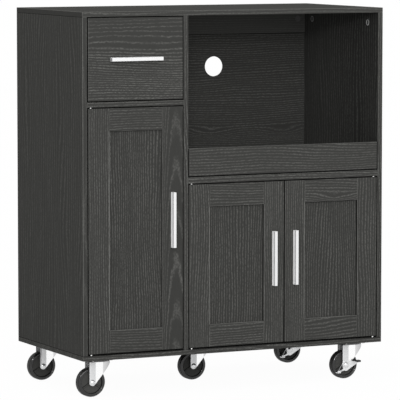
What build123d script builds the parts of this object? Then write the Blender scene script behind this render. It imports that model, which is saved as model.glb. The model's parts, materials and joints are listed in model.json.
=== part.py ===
from build123d import *
import os

# Carcass: boards butt together, the top and the bottom run full width over the uprights.
cabinet_width = 800.0
cabinet_depth = 400.0
carcass_height = 822.0
board = 12.0
left_bay_width = 250.0
drawer_bay_height = 200.0
niche_height = 385.0
niche_shelf = 15.0
front_gap = 2.0
foot_gap = 3.0
edge_chamfer = 0.6
joint_clearance = 0.1
running_clearance = 0.3

# Back: thin panels held in grooves, with a rail across the top of the microwave niche.
back_thickness = 3.0
back_inset = 8.0
groove_depth = 4.0
groove_play = 1.0
rail_height = 63.0
rail_inset = 2.0
cable_hole_diameter = 50.0
cable_hole_drop = 143.0

# Cam fittings: a slotted disc in one board pulls on a bolt fixed in the next.
cam_diameter = 15.0
cam_depth = 10.0
cam_setback = 26.0
cam_slot_width = 2.0
cam_slot_depth = 1.5
cam_front_inset = 55.0
cam_rear_inset = 53.0
rail_cam_setback = 20.0
bolt_diameter = 5.0
bolt_overlap = 4.0
bolt_grip = 7.0

# Loose shelves on pins.
shelf_setback = 24.0
shelf_side_play = 1.0
shelf_rear_play = 2.0
pin_diameter = 5.0
pin_reach = 8.0
pin_sink = 5.0
pin_inset = 45.0
pin_pitch = 32.0
pin_row = (-1, 0, 1)
left_shelf_height = 290.0
right_shelf_height = 196.0

# Doors: stiles and rails with a groove that carries a thin panel, hung on pivot pins.
door_thickness = 15.0
stile_width = 55.0
panel_recess = 5.0
panel_thickness = 5.0
panel_groove_depth = 8.0
pivot_diameter = 4.0
pivot_edge_inset = 8.0
pivot_face_inset = 5.0
pivot_reach = 10.0
pivot_sink = 8.0
pivot_collar_diameter = 5.4
pivot_fit = 0.05

# Bar handles with a finger groove along both sides, screwed on from behind.
handle_length = 132.0
handle_width = 9.0
handle_depth = 13.0
handle_corner = 1.5
handle_groove_radius = 3.2
handle_groove_depth = 1.6
handle_groove_height = 5.5
handle_screw_spacing = 96.0
handle_screw_diameter = 4.0
handle_screw_head = 8.0
handle_screw_head_height = 2.4
handle_screw_bite = 8.0
left_handle_drop = 270.0
pair_handle_drop = 187.0
drawer_handle_drop = 98.0

# Magnetic catches and the plates that they hold.
catch_length = 44.0
catch_depth = 14.0
catch_height = 13.0
strike_length = 36.0
strike_height = 11.0
strike_thickness = 1.2

# Drawer box and the tray behind the lip, both on channel runners.
drawer_rear_play = 27.0
drawer_box_height = 120.0
drawer_box_lift = 24.0
drawer_bottom_thickness = 3.0
drawer_bottom_lift = 10.0
drawer_groove_depth = 5.0
tray_front_height = 67.0
tray_board_lift = 10.0
tray_rear_play = 15.0
runner_rear_play = 34.0
runner_setback = 3.0
runner_space = 12.7
runner_depth = 9.5
runner_sheet = 1.2
drawer_runner_height = 35.0
tray_runner_height = 27.0

# Casters: a plate, a turning fork and a wheel trailing behind the turning axis.
caster_height = 92.0
caster_side_inset = 59.5
caster_end_inset = 50.0
caster_trail = 20.0
centre_caster_shift = (-5.0, -5.0)
plate_size = 62.0
plate_thickness = 2.5
plate_corner = 6.0
plate_screw_spacing = 48.0
plate_screw_diameter = 4.0
plate_screw_head = 8.0
plate_screw_head_height = 2.2
plate_screw_bite = 9.0
raceway_diameter = 54.0
raceway_height = 4.8
kingpin_diameter = 9.0
kingpin_head = 16.0
kingpin_head_height = 3.0
fork_sheet = 1.8
fork_lobe = 8.1
fork_front = 30.0
fork_turn = 7.0
fork_nose = 4.5
fork_bend = 1.6
fork_strip_rise = 1.2
fork_lip = 0.7
fork_lip_width = 4.0
wheel_diameter = 70.0
wheel_width = 20.0
wheel_side_play = 0.7
wheel_shoulder = 4.0
wheel_rim = 8.0
wheel_lip = 1.5
wheel_bead = 0.8
wheel_bead_rise = 0.3
wheel_hub = 14.0
wheel_web = 12.0
wheel_rib = 3.0
wheel_rib_drop = 2.0
wheel_ribs = 3
axle_diameter = 6.0
axle_head = 13.0
axle_head_height = 3.2

# Brakes on the right-hand casters: a rocking lever round the axle, with a covered pedal.
brake_sheet = 1.8
brake_play = 0.2
brake_lobe = 9.5
brake_boss = 16.4
brake_boss_height = 0.6
brake_heel = 8.0
brake_heel_drop = 7.0
brake_arm_end = 2.4
brake_arm_reach = 31.0
brake_arm_rise = 6.5
brake_tail_reach = 23.0
brake_tail_drop = 17.5
brake_tail_tab = 9.0
brake_tail_end = 1.5
brake_stay_rise = 6.5
brake_stay_inset = 7.5
pedal_length = 10.0
pedal_width = 7.0
pedal_cover = 1.4
pedal_crown = 3.4

# Places worked out from the sizes above. X runs to the right, Y to the back, Z up from the floor.
left_outer = -cabinet_width / 2
right_outer = cabinet_width / 2
left_bay = (left_outer + board, left_outer + board + left_bay_width)
divider_span = (left_bay[1], left_bay[1] + board)
right_bay = (divider_span[1], right_outer - board)
front_y = (handle_depth - cabinet_depth) / 2
rear_y = front_y + cabinet_depth
back_span = (rear_y - back_inset - back_thickness, rear_y - back_inset)
underside = caster_height
floor_z = underside + board
top_z = underside + carcass_height
ceiling_z = top_z - board
drawer_floor = ceiling_z - drawer_bay_height
left_door_top = drawer_floor - board
niche_floor = ceiling_z - niche_height
pair_door_top = niche_floor - niche_shelf
shelf_rear = back_span[0] - shelf_rear_play
box_room = back_span[0] - front_y - board
drawer_length = box_room - drawer_rear_play
tray_length = box_room - tray_rear_play
runner_length = box_room - runner_setback - runner_rear_play
cam_rows = (front_y + cam_front_inset, rear_y - cam_rear_inset)
pin_rows = (front_y + shelf_setback + pin_inset, shelf_rear - pin_inset)
pair_middle = (right_bay[0] + right_bay[1]) / 2
axle_z = wheel_diameter / 2
fork_top = caster_height - plate_thickness - raceway_height - running_clearance
fork_half = wheel_width / 2 + wheel_side_play + fork_sheet
strip_half = fork_half + fork_strip_rise
hub_half = strip_half - fork_sheet - fork_lip - running_clearance

parts_folder = "parts"
corner = (Align.MIN, Align.MIN, Align.MIN)
standing = (Align.CENTER, Align.CENTER, Align.MIN)


def slab(x, y, z):
    size = Box(x[1] - x[0], y[1] - y[0], z[1] - z[0], align=corner)
    return Pos(x[0], y[0], z[0]) * size


def eased(solid):
    return chamfer(solid.edges(), edge_chamfer)


def shrunk(span, by):
    return (span[0] + by, span[1] - by)


def rod(start, direction, length, diameter):
    place = Plane(origin=start, z_dir=direction).location
    return place * Cylinder(diameter / 2, length, align=standing)


def pan_screw(head_seat, direction, length, diameter, head, head_height):
    profile = Polyline((0, -head_height), (head / 2 - head_height / 2, -head_height),
                       (head / 2, -head_height / 2), (head / 2, 0),
                       (diameter / 2, 0), (diameter / 2, length), (0, length), close=True)
    turned = revolve(Plane.XZ * make_face(profile), Axis.Z)
    return Plane(origin=head_seat, z_dir=direction).location * turned


def save(node, solids):
    pieces = solids if isinstance(solids, list) else [solids]
    whole = pieces[0] if len(pieces) == 1 else Compound(children=pieces)
    export_step(whole, os.path.join(parts_folder, node + ".step"))


def carcass_boards():
    across = (left_outer, right_outer)
    deep = (front_y, rear_y)
    upright = (floor_z, ceiling_z)
    shelf_deep = (front_y, back_span[0] - joint_clearance)
    rail_y = (rear_y - rail_inset - board, rear_y - rail_inset)
    return {
        "top_panel": eased(slab(across, deep, (ceiling_z, top_z))),
        "bottom_panel": eased(slab(across, deep, (underside, floor_z))),
        "left_side_panel": eased(slab((left_outer, left_bay[0]), deep, upright)),
        "right_side_panel": eased(slab((right_bay[1], right_outer), deep, upright)),
        "divider_panel": eased(slab(divider_span, deep, upright)),
        "drawer_shelf": eased(slab(left_bay, shelf_deep, (left_door_top, drawer_floor))),
        "microwave_shelf": eased(slab(right_bay, shelf_deep, (pair_door_top, niche_floor))),
        "rear_rail": eased(slab(right_bay, rail_y, (ceiling_z - rail_height, ceiling_z))),
    }


def back_grooves():
    groove_y = shrunk(back_span, -joint_clearance)
    left = shrunk(left_bay, -groove_depth)
    right = shrunk(right_bay, -groove_depth)
    tall = (floor_z, ceiling_z)
    rail_foot = ceiling_z - rail_height
    return {
        "top_panel": [slab(left, groove_y, (ceiling_z, ceiling_z + groove_depth))],
        "bottom_panel": [slab(span, groove_y, (floor_z - groove_depth, floor_z)) for span in (left, right)],
        "left_side_panel": [slab((left[0], left_bay[0]), groove_y, tall)],
        "right_side_panel": [slab((right_bay[1], right[1]), groove_y, tall)],
        "divider_panel": [slab((divider_span[0], left[1]), groove_y, tall),
                          slab((right[0], divider_span[1]), groove_y, tall)],
        "rear_rail": [slab(right_bay, groove_y, (rail_foot, rail_foot + groove_depth))],
    }


def back_panels():
    sunk = groove_depth - groove_play
    bottom = floor_z - sunk
    left = slab(shrunk(left_bay, -sunk), back_span, (bottom, ceiling_z + sunk))
    right_top = ceiling_z - rail_height + sunk
    right = slab(shrunk(right_bay, -sunk), back_span, (bottom, right_top))
    hole_start = (pair_middle, back_span[0] - back_thickness, ceiling_z - cable_hole_drop)
    right -= rod(hole_start, (0, 1, 0), 3 * back_thickness, cable_hole_diameter)
    return {"left_back_panel": left, "right_back_panel": right}


def cam_sites():
    sites = []
    uprights = (("left_side_panel", left_bay[0], 1), ("divider_panel", divider_span[0], -1),
                ("right_side_panel", right_bay[1], -1))
    for host, face_x, out in uprights:
        for y in cam_rows:
            sites.append((host, "top_panel", (face_x, y, ceiling_z - cam_setback), (out, 0, 0),
                          (0, 0, 1), cam_setback))
            sites.append((host, "bottom_panel", (face_x, y, floor_z + cam_setback), (out, 0, 0),
                          (0, 0, -1), cam_setback))
    shelves = (("drawer_shelf", left_bay, left_door_top, "left_side_panel", "divider_panel"),
               ("microwave_shelf", right_bay, pair_door_top, "divider_panel", "right_side_panel"))
    for host, bay, face_z, left_mate, right_mate in shelves:
        for y in cam_rows:
            sites.append((host, left_mate, (bay[0] + cam_setback, y, face_z), (0, 0, -1),
                          (-1, 0, 0), cam_setback))
            sites.append((host, right_mate, (bay[1] - cam_setback, y, face_z), (0, 0, -1),
                          (1, 0, 0), cam_setback))
    rail_face = rear_y - rail_inset - board
    rail_middle = ceiling_z - cam_setback
    ends = ((right_bay[0] + rail_cam_setback, -1, "divider_panel"),
            (right_bay[1] - rail_cam_setback, 1, "right_side_panel"))
    for x, toward, mate in ends:
        sites.append(("rear_rail", mate, (x, rail_face, rail_middle), (0, -1, 0),
                      (toward, 0, 0), rail_cam_setback))
    return sites


def cam_disc():
    disc = Cylinder(cam_diameter / 2, cam_depth, align=(Align.CENTER, Align.CENTER, Align.MAX))
    reach = Rot(0, 90, 0) * Cylinder(bolt_diameter / 2 + joint_clearance, cam_diameter, align=standing)
    arm = cam_diameter / 2 - cam_slot_width
    slot = Box(2 * arm, cam_slot_width, 2 * cam_slot_depth)
    slot += Rot(0, 0, 90) * slot
    hollow = Pos(cam_diameter / 2 - bolt_overlap - joint_clearance, 0, -board / 2) * reach
    return disc - slot - hollow


def cam_bolt(setback, slack):
    start = cam_diameter / 2 - bolt_overlap
    length = setback + bolt_grip - start
    shank = Cylinder(bolt_diameter / 2 + slack, length + slack, align=standing)
    return Pos(start, 0, -board / 2) * (Rot(0, 90, 0) * shank)


def cam_fittings():
    pieces = []
    bores = {}
    pocket = Cylinder(cam_diameter / 2 + joint_clearance, cam_depth + joint_clearance,
                      align=(Align.CENTER, Align.CENTER, Align.MAX))
    disc = cam_disc()
    for host, mate, point, normal, toward, setback in cam_sites():
        place = Plane(origin=point, x_dir=toward, z_dir=normal).location
        pieces += [place * disc, place * cam_bolt(setback, 0.0)]
        bolt_bore = place * cam_bolt(setback, joint_clearance)
        bores.setdefault(host, []).extend([place * pocket, bolt_bore])
        bores.setdefault(mate, []).append(bolt_bore)
    return pieces, bores


def inner_shelves():
    deep = (front_y + shelf_setback, shelf_rear)
    shelves = {}
    for node, bay, height in (("left_inner_shelf", left_bay, left_shelf_height),
                              ("right_inner_shelf", right_bay, right_shelf_height)):
        foot = floor_z + height
        shelves[node] = eased(slab(shrunk(bay, shelf_side_play), deep, (foot, foot + board)))
    return shelves


def shelf_pins():
    pins = []
    bores = {}
    walls = (("left_side_panel", left_bay[0], 1, left_shelf_height),
             ("divider_panel", left_bay[1], -1, left_shelf_height),
             ("divider_panel", right_bay[0], 1, right_shelf_height),
             ("right_side_panel", right_bay[1], -1, right_shelf_height))
    for node, face_x, out, height in walls:
        pin_z = floor_z + height - pin_diameter / 2
        for y in pin_rows:
            inner_end = (face_x - out * pin_sink, y, pin_z)
            pins.append(rod(inner_end, (out, 0, 0), pin_sink + pin_reach, pin_diameter))
            for step in pin_row:
                start = (face_x - out * (pin_sink + joint_clearance), y, pin_z + step * pin_pitch)
                hole = rod(start, (out, 0, 0), 2 * pin_sink, pin_diameter + 2 * joint_clearance)
                bores.setdefault(node, []).append(hole)
    return pins, bores


def bar_handle(centre, along):
    outline = Pos(0, handle_depth / 2) * Rectangle(handle_width, handle_depth)
    offset_x = handle_width / 2 - handle_groove_depth + handle_groove_radius
    for side in (-1, 1):
        outline -= Pos(side * offset_x, handle_groove_height) * Circle(handle_groove_radius)
    front = outline.vertices().group_by(Axis.Y)[-1]
    profile = fillet(front, handle_corner)
    bar = extrude(profile, handle_length / 2, both=True)
    screw_bore = handle_screw_bite + joint_clearance
    for side in (-1, 1):
        start = (0, 0, side * handle_screw_spacing / 2)
        bar -= rod(start, (0, 1, 0), screw_bore, handle_screw_diameter + 2 * joint_clearance)
    place = Plane(origin=centre, x_dir=(0, 0, 1) if along == "x" else (-1, 0, 0),
                  z_dir=(1, 0, 0) if along == "x" else (0, 0, 1))
    return place.location * bar


def handle_screw_points(centre, along, depth):
    shift = handle_screw_spacing / 2
    step = (shift, 0, 0) if along == "x" else (0, 0, shift)
    return [Vector(centre) + Vector(0, depth, 0) + Vector(step) * side for side in (-1, 1)]


def handle_screws(centre, along, depth):
    length = depth + handle_screw_bite
    return [pan_screw(point, (0, -1, 0), length, handle_screw_diameter, handle_screw_head,
                      handle_screw_head_height) for point in handle_screw_points(centre, along, depth)]


def handle_bores(centre, along, depth):
    return [rod(point, (0, -1, 0), depth, handle_screw_diameter + 2 * joint_clearance)
            for point in handle_screw_points(centre, along, depth)]


def door_layout():
    bottom = floor_z + foot_gap
    gap = front_gap / 2
    left = (left_bay[0] + front_gap, left_bay[1] - front_gap)
    centre = (right_bay[0] + front_gap, pair_middle - gap)
    right = (pair_middle + gap, right_bay[1] - front_gap)
    return {
        "left_door": (left, (bottom, left_door_top - front_gap), -1, left_handle_drop),
        "centre_door": (centre, (bottom, pair_door_top - front_gap), -1, pair_handle_drop),
        "right_door": (right, (bottom, pair_door_top - front_gap), 1, pair_handle_drop),
    }


def door_frame(x, z, hinge):
    y = (front_y, front_y + door_thickness)
    groove_y = shrunk((front_y + panel_recess, front_y + panel_recess + panel_thickness), -joint_clearance)
    inner_x = shrunk(x, stile_width)
    inner_z = shrunk(z, stile_width)
    channel = slab(shrunk(inner_x, -panel_groove_depth), groove_y, shrunk(inner_z, -panel_groove_depth))
    mortise = slab(shrunk(inner_x, -panel_groove_depth), groove_y, z)
    stiles = [eased(slab((x[0], inner_x[0]), y, z)) - mortise,
              eased(slab((inner_x[1], x[1]), y, z)) - mortise]
    tongue_x = shrunk(inner_x, joint_clearance - panel_groove_depth)
    tongue_y = shrunk(groove_y, joint_clearance)
    rails = []
    for span in ((z[0], inner_z[0]), (inner_z[1], z[1])):
        rail = eased(slab(inner_x, y, span)) + slab(tongue_x, tongue_y, span)
        rails.append(rail - channel)
    pivot_x = x[0] + pivot_edge_inset if hinge < 0 else x[1] - pivot_edge_inset
    bore = pivot_diameter + 2 * pivot_fit
    hinge_stile = 0 if hinge < 0 else 1
    for end, up in ((z[0], 1), (z[1], -1)):
        start = (pivot_x, front_y + pivot_face_inset, end)
        stiles[hinge_stile] -= rod(start, (0, 0, up), pivot_reach, bore)
    return stiles, rails


def door_panel(x, z):
    edge = stile_width - panel_groove_depth + groove_play
    y = (front_y + panel_recess, front_y + panel_recess + panel_thickness)
    return slab(shrunk(x, edge), y, shrunk(z, edge))


def strike_plate(middle, back, top):
    x = (middle - strike_length / 2, middle + strike_length / 2)
    return slab(x, (back, back + strike_thickness), (top - strike_height, top))


def door_pieces():
    nodes = {}
    for door, (x, z, hinge, drop) in door_layout().items():
        lock = x[1] - stile_width / 2 if hinge < 0 else x[0] + stile_width / 2
        centre = (lock, front_y, z[1] - drop)
        stiles, rails = door_frame(x, z, hinge)
        lock_stile = 1 if hinge < 0 else 0
        stiles[lock_stile] -= handle_bores(centre, "z", door_thickness)
        nodes[door + "_frame"] = stiles + rails
        nodes[door + "_panel"] = door_panel(x, z)
        nodes[door + "_handle"] = bar_handle(centre, "z")
        back = front_y + door_thickness
        strike = strike_plate(lock, back, z[1] - front_gap)
        nodes[door + "_fittings"] = handle_screws(centre, "z", door_thickness) + [strike]
    return nodes


def pivot_pins():
    pins = []
    bores = {}
    seats = {"left_door": ("bottom_panel", "drawer_shelf"),
             "centre_door": ("bottom_panel", "microwave_shelf"),
             "right_door": ("bottom_panel", "microwave_shelf")}
    for door, (x, z, hinge, _) in door_layout().items():
        pivot_x = x[0] + pivot_edge_inset if hinge < 0 else x[1] - pivot_edge_inset
        ends = ((floor_z, 1, foot_gap), (z[1] + front_gap, -1, front_gap))
        for node, (seat, up, gap) in zip(seats[door], ends):
            face = Vector(pivot_x, front_y + pivot_face_inset, seat)
            foot = face - Vector(0, 0, up * pivot_sink)
            length = pivot_sink + gap + pivot_reach - running_clearance
            pin = rod(foot, (0, 0, up), length, pivot_diameter)
            pins.append(pin + rod(face, (0, 0, up), gap - running_clearance, pivot_collar_diameter))
            hole = rod(foot, (0, 0, up), 2 * pivot_sink, pivot_diameter + 2 * joint_clearance)
            bores.setdefault(node, []).append(hole)
    return pins, bores


def catches():
    pieces = []
    for x, z, hinge, _ in door_layout().values():
        lock = x[1] - stile_width / 2 if hinge < 0 else x[0] + stile_width / 2
        face = front_y + door_thickness + strike_thickness + running_clearance
        top = z[1] + front_gap
        body = slab((lock - catch_length / 2, lock + catch_length / 2), (face, face + catch_depth),
                    (top - catch_height, top))
        pieces.append(eased(body))
    return pieces


def channel(wall_x, out, y, middle, height, depth):
    web = slab(sorted((wall_x, wall_x + out * depth)), y, (middle - height / 2, middle + height / 2))
    hollow_x = sorted((wall_x + out * runner_sheet, wall_x + 2 * out * depth))
    hollow_z = shrunk((middle - height / 2, middle + height / 2), runner_sheet)
    return web - slab(hollow_x, y, hollow_z)


def runner_pair(bay, middle, height):
    start = front_y + board + runner_setback
    y = (start, start + runner_length)
    fixed = []
    moving = []
    inner_height = height - 2 * (runner_sheet + running_clearance)
    reach = runner_space - runner_sheet - running_clearance
    for wall, out in ((bay[0], 1), (bay[1], -1)):
        fixed.append(channel(wall, out, y, middle, height, runner_depth))
        moving.append(channel(wall + out * runner_space, -out, y, middle, inner_height, reach))
    return fixed, moving


def drawer_pieces():
    front_z = (drawer_floor + front_gap, ceiling_z - front_gap)
    box_z = (drawer_floor + drawer_box_lift, drawer_floor + drawer_box_lift + drawer_box_height)
    back_of_front = front_y + board
    box_y = (back_of_front, back_of_front + drawer_length)
    outer_x = shrunk(left_bay, runner_space)
    inner_x = shrunk(outer_x, board)
    bottom_z = (box_z[0] + drawer_bottom_lift, box_z[0] + drawer_bottom_lift + drawer_bottom_thickness)
    sunk = drawer_groove_depth - groove_play
    bottom_y = (back_of_front - sunk, box_y[1] - board + sunk)
    groove = slab(shrunk(inner_x, -drawer_groove_depth),
                  (back_of_front - drawer_groove_depth, box_y[1] - board + drawer_groove_depth),
                  shrunk(bottom_z, -joint_clearance))
    centre = ((left_bay[0] + left_bay[1]) / 2, front_y, front_z[1] - drawer_handle_drop)
    front = eased(slab(shrunk(left_bay, front_gap), (front_y, back_of_front), front_z))
    sides = [eased(slab((outer_x[0], inner_x[0]), box_y, box_z)) - groove,
             eased(slab((inner_x[1], outer_x[1]), box_y, box_z)) - groove]
    back = eased(slab(inner_x, (box_y[1] - board, box_y[1]), box_z)) - groove
    middle = (box_z[0] + box_z[1]) / 2
    fixed, moving = runner_pair(left_bay, middle, drawer_runner_height)
    return {
        "drawer_front": front - groove - handle_bores(centre, "x", board),
        "drawer_sides": sides,
        "drawer_back": back,
        "drawer_bottom": slab(shrunk(inner_x, -sunk), bottom_y, bottom_z),
        "drawer_handle": bar_handle(centre, "x"),
        "drawer_hardware": moving + handle_screws(centre, "x", board),
        "drawer_rails": fixed,
    }


def tray_pieces():
    foot = niche_floor + front_gap
    board_z = (foot + tray_board_lift, foot + tray_board_lift + board)
    back_of_front = front_y + board
    front = slab(shrunk(right_bay, front_gap), (front_y, back_of_front), (foot, foot + tray_front_height))
    shelf_y = (back_of_front, back_of_front + tray_length)
    shelf = slab(shrunk(right_bay, runner_space), shelf_y, board_z)
    fixed, moving = runner_pair(right_bay, (board_z[0] + board_z[1]) / 2, tray_runner_height)
    return {"tray_front": eased(front), "tray_board": eased(shelf),
            "tray_slides": moving, "tray_rails": fixed}


def caster_places():
    x = cabinet_width / 2 - caster_side_inset
    front = front_y + caster_end_inset
    rear = rear_y - caster_end_inset
    centre = (centre_caster_shift[0], (front_y + rear_y) / 2 + centre_caster_shift[1])
    return {"front_left": (-x, front), "front_right": (x, front), "rear_left": (-x, rear),
            "rear_right": (x, rear), "centre": centre}


def plate_screw_points():
    half = plate_screw_spacing / 2
    return [(x, y) for x in (-half, half) for y in (-half, half)]


def caster_plate():
    base = extrude(RectangleRounded(plate_size, plate_size, plate_corner), plate_thickness)
    for x, y in plate_screw_points():
        base -= Pos(x, y, 0) * Cylinder(plate_screw_diameter / 2 + joint_clearance, 3 * plate_thickness)
    base = Pos(0, 0, caster_height - plate_thickness) * base
    race_top = caster_height - plate_thickness
    race = rod((0, 0, race_top), (0, 0, -1), raceway_height, raceway_diameter)
    race = chamfer(race.edges().group_by(Axis.Z)[0], raceway_height / 2)
    head_top = fork_top - fork_sheet - running_clearance
    pin = rod((0, 0, race_top), (0, 0, -1), race_top - head_top, kingpin_diameter)
    head = rod((0, 0, head_top), (0, 0, -1), kingpin_head_height, kingpin_head)
    head = chamfer(head.edges().group_by(Axis.Z)[0], kingpin_head_height / 2)
    return base + race + pin + head


def plate_screws():
    seat = caster_height - plate_thickness
    length = plate_thickness + plate_screw_bite
    return [pan_screw((x, y, seat), (0, 0, 1), length, plate_screw_diameter, plate_screw_head,
                      plate_screw_head_height) for x, y in plate_screw_points()]


def plate_screw_bores():
    return [rod((x, y, caster_height), (0, 0, 1), plate_screw_bite + joint_clearance,
                plate_screw_diameter + 2 * joint_clearance) for x, y in plate_screw_points()]


def fork_plan(inset):
    left = -caster_trail - fork_lobe - (fork_sheet if inset else 0)
    strip_end = -caster_trail + fork_lobe
    half = fork_half - inset
    strip = strip_half - inset
    lip = strip - fork_lip
    lip_end = -caster_trail - fork_lobe + fork_lip_width
    legs = Polyline((left, -lip), (lip_end, -strip), (strip_end, -strip), (fork_turn, -half),
                    (fork_turn, half), (strip_end, strip), (lip_end, strip), (left, lip), close=True)
    nose = Pos(fork_turn, 0) * Ellipse(fork_front - fork_turn - inset, half)
    return make_face(legs) + nose


def caster_fork():
    axle = (-caster_trail, axle_z)
    left = -caster_trail - fork_lobe
    crown = Polyline((left, axle_z), (left, fork_top), (fork_front, fork_top),
                     (fork_front, fork_top - fork_nose))
    lobe = Pos(*axle) * Circle(fork_lobe)
    outline = make_hull([*crown.edges(), *lobe.edges()])
    side = extrude(Plane.XZ * outline, strip_half, both=True)
    body = extrude(fork_plan(0), fork_top) & side
    body = fillet(body.edges().group_by(Axis.Z)[-1], fork_bend)
    body -= extrude(fork_plan(fork_sheet), fork_top - fork_sheet)
    body -= Pos(0, 0, fork_top) * Cylinder(kingpin_diameter / 2 + pivot_fit, 4 * fork_sheet)
    axle_start = (axle[0], -2 * strip_half, axle_z)
    body -= rod(axle_start, (0, 1, 0), 4 * strip_half, axle_diameter + 2 * joint_clearance)
    return body


def caster_axle(braked):
    near = -strip_half - (brake_sheet + brake_boss_height + 2 * brake_play if braked else 0)
    shank = axle_diameter / 2
    head = axle_head / 2
    dome = (head ** 2 + axle_head_height ** 2) / (2 * axle_head_height)
    way_out = head / 2
    way_up = (dome ** 2 - way_out ** 2) ** 0.5 - dome + axle_head_height
    near_end = near - axle_head_height
    far_end = strip_half + axle_head_height
    near_dome = ThreePointArc((0, near_end), (way_out, near - way_up), (head, near))
    far_dome = ThreePointArc((head, strip_half), (way_out, strip_half + way_up), (0, far_end))
    body = Polyline((head, near), (shank, near), (shank, strip_half), (head, strip_half))
    profile = make_face([near_dome, *body.edges(), far_dome, Line((0, far_end), (0, near_end))])
    return Pos(-caster_trail, 0, axle_z) * revolve(profile, Axis.Y)


def caster_wheel():
    radius = wheel_diameter / 2
    half = wheel_width / 2
    bore = axle_diameter / 2 + pivot_fit
    hub = wheel_hub / 2
    rim = radius - wheel_rim
    web = wheel_web / 2
    right = [(bore, hub_half), (hub, hub_half), (hub, web), (rim, web), (rim, half), (radius, half)]
    left = [(r, -y) for r, y in reversed(right)]
    tyre = revolve(make_face(Polyline(*right, *left, close=True)), Axis.Y)
    circles = tyre.edges().filter_by(GeomType.CIRCLE)
    shoulders = [edge for edge in circles if edge.radius > rim + wheel_rim / 2]
    tyre = fillet(shoulders, wheel_shoulder)
    circles = tyre.edges().filter_by(GeomType.CIRCLE)
    lips = [edge for edge in circles
            if abs(edge.radius - rim) < joint_clearance and abs(edge.arc_center.Y) > web + wheel_lip]
    tyre = fillet(lips, wheel_lip)
    for side in (-1, 1):
        bead = Rot(90, 0, 0) * Torus(radius - wheel_shoulder - wheel_bead / 2, wheel_bead)
        tyre += Pos(0, side * (half + wheel_bead_rise - wheel_bead), 0) * bead
    ribs = []
    for turn in range(wheel_ribs):
        spoke = slab((hub - wheel_rib / 2, rim + wheel_rib / 2), shrunk((-half, half), wheel_rib_drop),
                     (-wheel_rib / 2, wheel_rib / 2))
        ribs.append(Rot(0, turn * 360 / wheel_ribs - 90, 0) * spoke)
    return Pos(-caster_trail, 0, axle_z) * (tyre + ribs)


def brake_plane():
    near = -strip_half - brake_play - brake_sheet
    return (near, near + brake_sheet)


def brake_lever():
    y = brake_plane()
    lobe = Circle(brake_lobe)
    heel = Pos(0, -brake_heel_drop) * Circle(brake_heel)
    arm = Pos(brake_arm_reach, brake_arm_rise + brake_sheet / 2 - brake_arm_end) * Circle(brake_arm_end)
    tail = Pos(-brake_tail_reach, -brake_tail_drop) * Circle(brake_tail_end)
    toe = Pos(-brake_heel / 2, -brake_heel_drop - brake_heel / 2) * Circle(brake_arm_end)
    stay = Pos(-brake_stay_inset, brake_stay_rise) * Circle(brake_tail_end / 2)
    foot_of_stay = Pos(-brake_tail_reach, -brake_tail_drop) * Circle(brake_tail_end / 2)
    outline = make_hull([*lobe.edges(), *heel.edges(), *arm.edges()])
    outline += make_hull([*toe.edges(), *tail.edges()])
    outline += make_hull([*stay.edges(), *foot_of_stay.edges()])
    outline -= Circle(axle_diameter / 2 + pivot_fit)
    plate = Pos(0, y[1], 0) * extrude(Plane.XZ * outline, brake_sheet)
    boss = Plane.XZ * (Circle(brake_boss / 2) - Circle(axle_diameter / 2 + pivot_fit))
    plate += Pos(0, y[0], 0) * extrude(boss, brake_boss_height)
    tab_z = (brake_arm_rise - brake_sheet / 2, brake_arm_rise + brake_sheet / 2)
    tab_x = (brake_arm_reach - pedal_width / 2, brake_arm_reach + pedal_width / 2)
    tab = slab(tab_x, (y[0] - pedal_length, y[1]), tab_z)
    tail_z = (-brake_tail_drop - brake_sheet / 2, -brake_tail_drop + brake_sheet / 2)
    tail_x = (-brake_tail_reach - brake_tail_tab / 2, -brake_tail_reach + brake_tail_tab / 2)
    foot = slab(tail_x, (y[0] - brake_tail_tab, y[1]), tail_z)
    return Pos(-caster_trail, 0, axle_z) * (plate + tab + foot)


def brake_pedal():
    y = brake_plane()
    half = pedal_width / 2 + pedal_cover
    outer = slab((brake_arm_reach - half, brake_arm_reach + half),
                 (y[0] - pedal_length - pedal_cover, y[0] - joint_clearance),
                 (brake_arm_rise, brake_arm_rise + brake_sheet / 2 + pedal_crown))
    outer = chamfer(outer.edges().group_by(Axis.Z)[-1], pedal_cover / 2)
    pocket = slab((brake_arm_reach - pedal_width / 2, brake_arm_reach + pedal_width / 2),
                  (y[0] - pedal_length, y[1]),
                  (brake_arm_rise - brake_sheet / 2, brake_arm_rise + brake_sheet / 2))
    return Pos(-caster_trail, 0, axle_z) * (outer - pocket)


def save_casters():
    plates = []
    screws = []
    bores = []
    fork = caster_fork()
    wheel = caster_wheel()
    for place, (x, y) in caster_places().items():
        at = Pos(x, y, 0)
        braked = place.endswith("right")
        node = "caster_" + place
        plates.append(at * caster_plate())
        screws += [at * screw for screw in plate_screws()]
        bores += [at * bore for bore in plate_screw_bores()]
        save(node + "_fork", at * fork)
        save(node + "_axle", at * caster_axle(braked))
        save(node + "_wheel", at * wheel)
        if braked:
            save(node + "_brake_lever", at * brake_lever())
            save(node + "_brake_pedal", at * brake_pedal())
    save("caster_plates", plates)
    save("caster_screws", screws)
    return {"bottom_panel": bores}


def main():
    os.makedirs(parts_folder, exist_ok=True)
    cams, cam_bores = cam_fittings()
    pins, pin_bores = shelf_pins()
    pivots, pivot_bores = pivot_pins()
    caster_bores = save_casters()
    for node, solid in carcass_boards().items():
        for cuts in (back_grooves(), cam_bores, pin_bores, pivot_bores, caster_bores):
            if node in cuts:
                solid -= cuts[node]
        save(node, solid)
    save("cam_fittings", cams)
    save("shelf_pins", pins)
    save("door_pivot_pins", pivots)
    save("magnetic_catches", catches())
    for group in (back_panels(), inner_shelves(), door_pieces(), drawer_pieces(), tray_pieces()):
        for node, solids in group.items():
            save(node, solids)


main()
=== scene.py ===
import json
import math

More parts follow.
